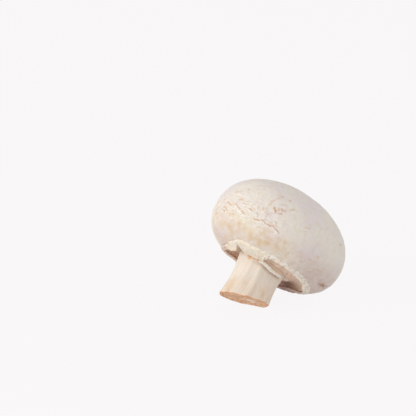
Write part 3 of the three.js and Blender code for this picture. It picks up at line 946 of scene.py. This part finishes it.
def shred_height(angle, depth, flat):
    """Height of the strip of veil left on the stem: a slope above and a torn, steep edge below."""
    below = depth - shred_line(angle, flat)
    section = ease(-1.2, -0.6, below) * (1 - ease(0.1, 0.4, below))
    ragged = 0.85 + 0.35 * rough(flat * (1, 1, 0), 1.3, 2, 14.0)
    return lobes(SHRED_LOBES, angle) * section * ragged


def stem_paint(settings):
    paint = Paint("stem_flesh", 0.6, 0.2)
    fibres = paint.pattern(0.9, 4, 0.6, paint.grain, (1, 1, 9))
    colour = paint.mix(settings.flesh, settings.flesh_cool, paint.range(fibres, 0.42, 0.62))
    broad = paint.pattern(2.4, 3, 0.5, paint.grain, (1, 1, 4))
    low = paint.math("MULTIPLY", paint.layer("low"), paint.range(broad, 0.44, 0.7, 0.2, 0.9))
    colour = paint.mix(colour, settings.streak_orange, low)
    colour = paint.mix(colour, settings.neck_tan, paint.math("MULTIPLY", paint.layer("neck"), 0.8))
    colour = paint.coats(colour, seam=settings.seam_orange, under_shred=settings.shred_brown,
                         shred=settings.shred_white)
    ring = paint.pattern(1.5, 5, 0.65)
    cut = paint.mix(settings.cut_orange, settings.cut_dark, paint.range(ring, 0.42, 0.62))
    cut = paint.mix(cut, settings.pith, paint.math("MULTIPLY", paint.layer("pith"), 0.9))
    cut = paint.coats(cut, rim=settings.cut_rim)
    colour = paint.coats(colour, cut=cut)
    fine_fibres = paint.pattern(0.45, 4, 0.6, paint.grain, (1, 1, 8))
    height = paint.math("ADD", paint.pattern(0.5, 5, 0.6), fine_fibres)
    return paint.finish(colour, height, 0.12)


class MUSHROOM_PG_stem(bpy.types.PropertyGroup):
    fibre_height: length_setting("Fibre height", "Height of the fine fibres down the stem", 0.05)
    flesh: colour_setting("Flesh", "Warm side of the stem", (242, 232, 216))
    flesh_cool: colour_setting("Flesh cool", "Cool streaks of the stem", (236, 225, 213))
    streak_orange: colour_setting("Streak orange", "Dried streaks above the cut", (224, 192, 154))
    neck_tan: colour_setting("Neck tan", "Stem over the shred", (244, 220, 198))
    seam_orange: colour_setting("Seam orange", "Line where the stem meets the veil", (222, 172, 116))
    shred_white: colour_setting("Shred white", "Shred of veil left on the stem", (254, 250, 240))
    shred_brown: colour_setting("Shred brown", "Dirt and shade under the shred", (178, 140, 112))
    cut_orange: colour_setting("Cut orange", "Dried face of the cut", (244, 202, 164))
    cut_dark: colour_setting("Cut dark", "Darker patches of the cut", (216, 154, 110))
    cut_rim: colour_setting("Cut rim", "Edge of the cut", (226, 168, 116))
    pith: colour_setting("Pith", "Pale middle of the cut", (255, 240, 224))


class MUSHROOM_OT_stem(bpy.types.Operator):
    """Adds the stem with its fibres, its shred of veil and its dried cut"""
    bl_idname = "mushroom.stem"
    bl_label = "Stem"

    def execute(self, context):
        settings = context.scene.mushroom_stem
        hidden, side, cut = stem_profile()
        first_cut = STEM_ROWS + 1 - STEM_CUT_ROWS
        radius, height = even_rows([(hidden, STEM_TOP_ROWS), (side, first_cut - STEM_TOP_ROWS),
                                    (cut, STEM_CUT_ROWS)])

        def shape(row, angle):
            depth = -height[row]
            on_side = (row >= STEM_TOP_ROWS) & (row < first_cut + 3)
            bare = ease(SOCKET_FOOT, 0.9 * NECK_DEPTH, depth)
            flat = round_stem(angle, depth / FIBRE_STRETCH)
            fine = settings.fibre_height / MM * rough(flat, 0.9, 3, 6.0)
            relief = on_side * (bare * (waves(FIBRE_WAVES, angle) + fine) + shred_height(angle, depth, flat))
            return grown_stem(radius[row], height[row], angle, relief)

        piece, row, angle, points = turned_ball("stem_flesh", STEM_AROUND, STEM_ROWS, shape)
        depth = -height[row]
        on_cut = (row >= first_cut).astype(float)
        outwards = radius[row] / STEM_FOOT_RADIUS
        rings = RING_HEIGHT * np.cos(outwards * 26) * (1 - outwards)
        wrinkles = WRINKLE_HEIGHT * rough(points, 1.2, 3, 8.0) + rings
        wrinkles *= 1 - 0.75 * ease(0.75, 0.95, outwards)
        hollow = -HOLLOW_DEPTH * np.exp(-((outwards / 0.2) ** 2)) + RIM_HEIGHT * ease(0.8, 0.95, outwards)
        move_points(piece, points + normals_of(piece) * (on_cut * (wrinkles + hollow + CUT_LEVEL))[:, None])

        flat = round_stem(angle, depth / FIBRE_STRETCH)
        on_stalk = row < first_cut
        shred = shred_height(angle, depth, flat) * on_stalk
        below = depth - shred_line(angle, flat)
        shaded = 0.8 * lobes(SHRED_LOBES[:2], angle) * ease(0.1, 0.4, below) * (1 - ease(0.5, 1.8, below))
        neck = lobes(NECK_SIDE, angle) * ease(0.5, 1.1, -below) * on_stalk
        joint = upper_depth(VEIL_INNER_RADIUS, angle) + LAYER_LIFT
        seam = 0.75 * veil_whole(angle) * (1 - ease(0.2, 0.65, depth - joint)) * on_stalk
        pith_x, pith_z = PITH
        from_pith = np.hypot(radius[row] * np.cos(angle) - pith_x, radius[row] * np.sin(angle) - pith_z)
        give_values(
            piece,
            grain=round_stem(angle, depth),
            low=ease(17, 24, depth),
            shred=ease(0.15, 0.5, shred),
            neck=neck,
            seam=seam * ease(-0.5, 0.2, rough(points, 1.6, 2, 1.0)),
            under_shred=np.clip(shaded * on_stalk, 0, 0.85),
            cut=np.maximum(on_cut, ease(STEM_LENGTH - 0.42, STEM_LENGTH - 0.2, depth)),
            rim=on_cut * ease(0.9, 0.98, outwards),
            pith=on_cut * np.exp(-((from_pith / PITH_RADIUS) ** 2)))
        finish_piece(piece, "stem", stem_paint(settings))
        return {"FINISHED"}


# Stage

# Lights: direction to the right, up and back of the camera, then distance and width in metres, and colour
KEY_LIGHT = ((-0.9, 0.2, 0.35), 0.7, 0.4, (1.0, 0.98, 0.955))
FILL_LIGHT = ((0.5, 0.3, 0.9), 0.9, 0.8, (1.0, 0.97, 0.98))
FLOOR_WIDTH = 6
FLOOR_ALBEDO = 0.05
FLOOR_GLOW = 0.945
AIR_GLOW = 1


class MUSHROOM_PG_stage(bpy.types.PropertyGroup):
    floor_colour: colour_setting("Floor", "Colour of the floor and the air", (250, 248, 249))
    ambient: bpy.props.FloatProperty(
        name="Ambient", description="Strength of the even light", default=0.71)
    bounce: bpy.props.FloatProperty(
        name="Bounce", description="Light that the floor throws back", default=0.66)
    key_power: bpy.props.FloatProperty(
        name="Key light", description="Power of the large light on the left", default=2.1, unit="POWER")
    fill_power: bpy.props.FloatProperty(
        name="Fill light", description="Power of the low light in front", default=1.0, unit="POWER")


def view_axes():
    """Right, up and backwards of the camera."""
    back = Vector((math.sin(VIEW_AZIMUTH) * math.cos(VIEW_ELEVATION),
                   -math.cos(VIEW_AZIMUTH) * math.cos(VIEW_ELEVATION), math.sin(VIEW_ELEVATION)))
    right = Vector((math.cos(VIEW_AZIMUTH), math.sin(VIEW_AZIMUTH), 0))
    return right, back.cross(right), back


def add_soft_light(name, light_place, power):
    (aside, above, behind), distance, size, colour = light_place
    right, up, back = view_axes()
    towards = aside * right + above * up + behind * back
    bpy.ops.object.light_add(type="AREA", location=VIEW_TARGET * MM + towards.normalized() * distance)
    light = bpy.context.object
    light.name = name
    light.data.shape = "DISK"
    light.data.size = size
    light.data.energy = power
    light.data.color = colour
    light.rotation_mode = "QUATERNION"
    light.rotation_quaternion = towards.to_track_quat("Z", "Y")


def shine_differently(tree, socket, on_things, on_camera):
    """Gives a strength of light one value for what it falls on and another where it is looked at."""
    looked_at = tree.nodes.new("ShaderNodeLightPath").outputs["Is Camera Ray"]
    strength = tree.nodes.new("ShaderNodeMapRange")
    strength.inputs["To Min"].default_value = on_things
    strength.inputs["To Max"].default_value = on_camera
    tree.links.new(looked_at, strength.inputs["Value"])
    tree.links.new(strength.outputs["Result"], socket)


class MUSHROOM_OT_stage(bpy.types.Operator):
    """Adds the floor, the lights and the camera"""
    bl_idname = "mushroom.stage"
    bl_label = "Stage"

    def execute(self, context):
        settings = context.scene.mushroom_stage
        self.add_floor(settings)
        world = bpy.data.worlds.new("studio_air")
        context.scene.world = world
        world.use_nodes = True
        air = world.node_tree.nodes["Background"]
        air.inputs["Color"].default_value = (*settings.floor_colour, 1)
        shine_differently(world.node_tree, air.inputs["Strength"], settings.ambient, AIR_GLOW)
        add_soft_light("key_light", KEY_LIGHT, settings.key_power)
        add_soft_light("fill_light", FILL_LIGHT, settings.fill_power)
        context.scene.view_settings.view_transform = "Standard"
        self.add_camera(context)
        return {"FINISHED"}

    def add_floor(self, settings):
        floor = start_piece("floor", bpy.ops.mesh.primitive_plane_add, size=FLOOR_WIDTH)
        material = bpy.data.materials.new("floor_acrylic")
        material.use_nodes = True
        tree = material.node_tree
        shader = tree.nodes["Principled BSDF"]
        shader.inputs["Base Color"].default_value = (FLOOR_ALBEDO, FLOOR_ALBEDO, FLOOR_ALBEDO, 1)
        shader.inputs["Roughness"].default_value = 1
        shader.inputs["Specular IOR Level"].default_value = 0
        shader.inputs["Emission Color"].default_value = (*settings.floor_colour, 1)
        shine_differently(tree, shader.inputs["Emission Strength"], settings.bounce, FLOOR_GLOW)
        floor.data.materials.append(material)

    def add_camera(self, context):
        right, up, back = view_axes()
        focal = PIXELS_PER_MM * VIEW_DISTANCE
        bpy.ops.object.camera_add(location=(VIEW_TARGET + back * VIEW_DISTANCE) * MM)
        camera = context.object
        camera.name = "camera"
        camera.data.lens = SENSOR_WIDTH * focal / PICTURE_SIZE
        camera.data.sensor_width = SENSOR_WIDTH
        aside, below = [(pixel - PICTURE_SIZE / 2) / focal for pixel in TARGET_PIXEL]
        ahead = -back - right * aside + up * below
        straight = Matrix((right, up, back)).transposed().to_quaternion()
        camera.rotation_mode = "QUATERNION"
        camera.rotation_quaternion = (-back).rotation_difference(ahead) @ straight
        context.scene.camera = camera


class MUSHROOM_PT_sidebar(bpy.types.Panel):
    bl_idname = "MUSHROOM_PT_sidebar"
    bl_label = "Button mushroom"
    bl_space_type = "VIEW_3D"
    bl_region_type = "UI"
    bl_category = "Mushroom"

    def draw(self, context):
        for name, group in GROUPS.items():
            box = self.layout.box()
            settings = getattr(context.scene, "mushroom_" + name)
            for key in group.__annotations__:
                box.prop(settings, key)
            box.operator("mushroom." + name)


GROUPS = {
    "cap": MUSHROOM_PG_cap,
    "veil": MUSHROOM_PG_veil,
    "stem": MUSHROOM_PG_stem,
    "stage": MUSHROOM_PG_stage,
}
CLASSES = [*GROUPS.values(), MUSHROOM_OT_cap, MUSHROOM_OT_veil, MUSHROOM_OT_stem, MUSHROOM_OT_stage,
           MUSHROOM_PT_sidebar]


def register():
    for item in CLASSES:
        bpy.utils.register_class(item)
    for name, group in GROUPS.items():
        setattr(bpy.types.Scene, "mushroom_" + name, bpy.props.PointerProperty(type=group))


def unregister():
    for name in GROUPS:
        delattr(bpy.types.Scene, "mushroom_" + name)
    for item in reversed(CLASSES):
        bpy.utils.unregister_class(item)


def main():
    register()
    bpy.ops.mushroom.cap()
    bpy.ops.mushroom.veil()
    bpy.ops.mushroom.stem()
    bpy.ops.mushroom.stage()


if __name__ == "__main__":
    main()
